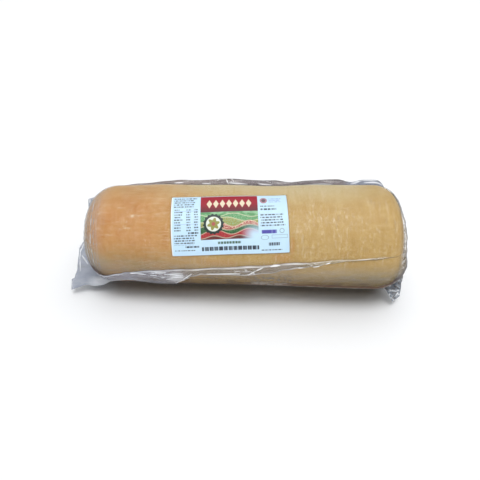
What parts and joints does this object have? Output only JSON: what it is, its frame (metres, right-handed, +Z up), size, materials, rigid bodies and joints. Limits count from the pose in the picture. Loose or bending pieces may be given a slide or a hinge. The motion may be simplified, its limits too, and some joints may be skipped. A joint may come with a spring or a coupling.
{
  "type": "smoked mozzarella log in a vacuum bag",
  "caption": "Long round log of smoked mozzarella, sealed tight in a clear vacuum bag with slack folds and corner ears, with a plain printed paper label on its upper front.",
  "frame": {"origin": "middle of the pack's box, on the surface that it rests on", "axes": "+X along the log towards its fatter end, +Z up, -Y towards the labelled front"},
  "size_m": [0.3368, 0.1058, 0.1012],
  "materials": {
    "smoked_cheese": "smoked cheese skin, orange brown at one end and straw yellow at the other, seen through tight clear film",
    "clear_film": "thin clear vacuum film, glossy, greyish where it hangs free in folds and ears",
    "label_paper": null
  },
  "bodies": {
    "root": {"vacuum_pack": "smoked_cheese", "paper_label": "label_paper"}
  },
  "joints": []
}
